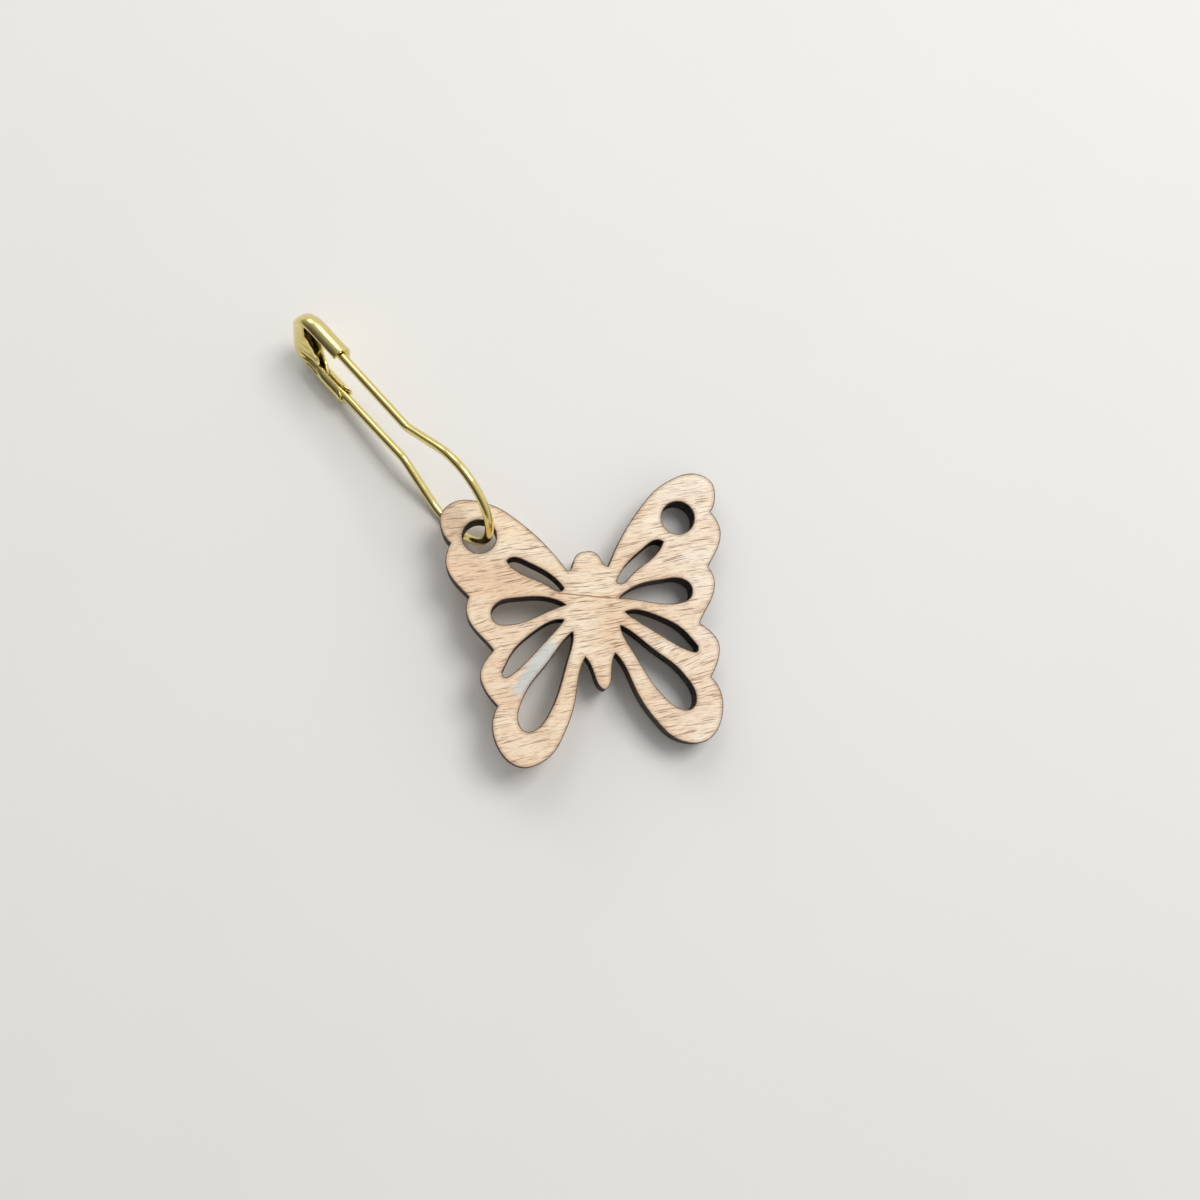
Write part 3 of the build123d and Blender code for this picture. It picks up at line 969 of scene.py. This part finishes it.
class STITCH_OT_cap(bpy.types.Operator):
    """Builds the cap from one folded sheet: a dome, a crimp and a hook"""

    bl_idname = "stitch.cap"
    bl_label = "Pin cap"

    def execute(self, context):
        cap = context.scene.stitch_cap
        pin = context.scene.stitch_pin
        points, faces = cap_surface(cap, pin)
        piece = new_piece("pin_cap", place_on_pin(points, pin), faces, outward=False)
        wall = piece.modifiers.new("sheet", "SOLIDIFY")
        wall.thickness = cap.sheet
        wall.offset = 0.0
        wall.use_even_offset = True
        rounding = piece.modifiers.new("rounding", "SUBSURF")
        rounding.levels = 1
        rounding.render_levels = 1
        dress(piece, gold_material("gold_sheet", cap.gold, cap.roughness, 0.15), "gold_sheet", "cap")
        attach(piece, "pin")
        return {"FINISHED"}


class STITCH_OT_charm(bpy.types.Operator):
    """Builds the laser-cut wooden butterfly with its burnt edges"""

    bl_idname = "stitch.charm"
    bl_label = "Butterfly charm"

    def execute(self, context):
        charm = context.scene.stitch_charm
        points, faces, flat, edge, wall = charm_surface(charm)
        attributes = (("flat", flat), ("edge", edge), ("wall", wall))
        piece = new_piece("butterfly", place_on_table(points, charm), faces, attributes)
        piece.data.set_sharp_from_angle(angle=math.radians(40))
        dress(piece, wood_material(charm), "charm_wood", "butterfly_charm")
        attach(piece, "charm")
        return {"FINISHED"}


def pale_floor(stage):
    """A flat pale floor at z = 0, faintly clouded."""
    half = stage.floor_half
    corners = np.array([(-half, -half, 0.0), (half, -half, 0.0), (half, half, 0.0), (-half, half, 0.0)])
    floor = new_piece("floor", corners, [(0, 1, 2, 3)], outward=False)
    material, tree, shader = new_material("floor_pale")
    place = node(tree, "ShaderNodeTexCoord").outputs["Object"]
    cloudy = band(tree, noise(tree, place, 60.0, 3.0), 0.3, 0.7, 0.0, 0.06)
    tree.links.new(mix(tree, cloudy, tuple(stage.floor), (0.7, 0.69, 0.67)), shader.inputs["Base Color"])
    shader.inputs["Roughness"].default_value = 0.85
    shader.inputs["Specular IOR Level"].default_value = 0.1
    floor.data.materials.append(material)


def soft_lamp(name, place, aim, size, power, tint):
    """A square lamp at a place, turned to face its aim."""
    lamp = bpy.data.lights.new(name, "AREA")
    lamp.shape = "SQUARE"
    lamp.size = size
    lamp.energy = power
    lamp.color = tint
    holder = bpy.data.objects.new(name, lamp)
    holder.location = place
    holder.rotation_euler = (Vector(aim) - Vector(place)).to_track_quat("-Z", "Y").to_euler()
    bpy.context.scene.collection.objects.link(holder)


def soft_room(scene, stage):
    """Light from all round, bright on the window's side and dim on the other."""
    world = bpy.data.worlds.new("soft_room")
    scene.world = world
    world.use_nodes = True
    tree = world.node_tree
    tree.nodes.clear()
    towards = node(tree, "ShaderNodeTexCoord").outputs["Generated"]
    parts = node(tree, "ShaderNodeSeparateXYZ", {"Vector": towards}).outputs
    window_side = band(tree, parts["Y"], -0.9, 0.7)
    sky = mix(tree, window_side, (0.1, 0.095, 0.09), (1.0, 1.0, 1.0))
    background = node(tree, "ShaderNodeBackground", {"Color": sky, "Strength": stage.sky})
    node(tree, "ShaderNodeOutputWorld", {"Surface": background.outputs[0]})


def photo_camera(scene, stage):
    """The camera at the photograph's viewing angle."""
    camera = bpy.data.cameras.new("camera")
    camera.lens = stage.lens
    camera.sensor_width = 36.0
    camera.clip_start = 0.001
    camera.dof.use_dof = False
    holder = bpy.data.objects.new("camera", camera)
    ahead = Vector(CAMERA_AHEAD).normalized()
    right = ahead.cross(Vector(CAMERA_UP)).normalized()
    turn = Matrix((right, right.cross(ahead), -ahead)).transposed().to_4x4()
    holder.matrix_world = Matrix.Translation(Vector(CAMERA_PLACE) * MM) @ turn
    scene.collection.objects.link(holder)
    scene.camera = holder


class STITCH_OT_stage(bpy.types.Operator):
    """Sets a pale floor, soft light and the camera at the photograph's angle"""

    bl_idname = "stitch.stage"
    bl_label = "Stage"

    def execute(self, context):
        stage = context.scene.stitch_stage
        pale_floor(stage)
        for name, place, aim, size, part, tint in LAMPS:
            soft_lamp(name, place, aim, size, stage.key_power * part, tint)
        soft_room(context.scene, stage)
        photo_camera(context.scene, stage)
        context.scene.view_settings.view_transform = "Standard"
        return {"FINISHED"}


class STITCH_PT_panel(bpy.types.Panel):
    """The stitch marker's pieces and settings"""

    bl_idname = "STITCH_PT_panel"
    bl_label = "Stitch marker"
    bl_space_type = "VIEW_3D"
    bl_region_type = "UI"
    bl_category = "Stitch marker"

    def draw(self, context):
        for name, operator, settings in STEPS:
            box = self.layout.box()
            box.operator(operator)
            group = getattr(context.scene, name)
            for key in settings.__annotations__:
                box.prop(group, key)


STEPS = (
    ("stitch_pin", "stitch.wire", PinSettings),
    ("stitch_cap", "stitch.cap", CapSettings),
    ("stitch_charm", "stitch.charm", CharmSettings),
    ("stitch_stage", "stitch.stage", StageSettings),
)
OPERATORS = (STITCH_OT_wire, STITCH_OT_cap, STITCH_OT_charm, STITCH_OT_stage)


def register():
    """Registers the settings, the operators and the panel."""
    for name, _, settings in STEPS:
        bpy.utils.register_class(settings)
        setattr(bpy.types.Scene, name, bpy.props.PointerProperty(type=settings))
    for kind in (*OPERATORS, STITCH_PT_panel):
        bpy.utils.register_class(kind)


def unregister():
    """Removes what register added."""
    for kind in (STITCH_PT_panel, *reversed(OPERATORS)):
        bpy.utils.unregister_class(kind)
    for name, _, settings in reversed(STEPS):
        delattr(bpy.types.Scene, name)
        bpy.utils.unregister_class(settings)


def main():
    """Builds every piece and the stage."""
    register()
    bpy.ops.stitch.wire()
    bpy.ops.stitch.cap()
    bpy.ops.stitch.charm()
    bpy.ops.stitch.stage()


if __name__ == "__main__":
    main()
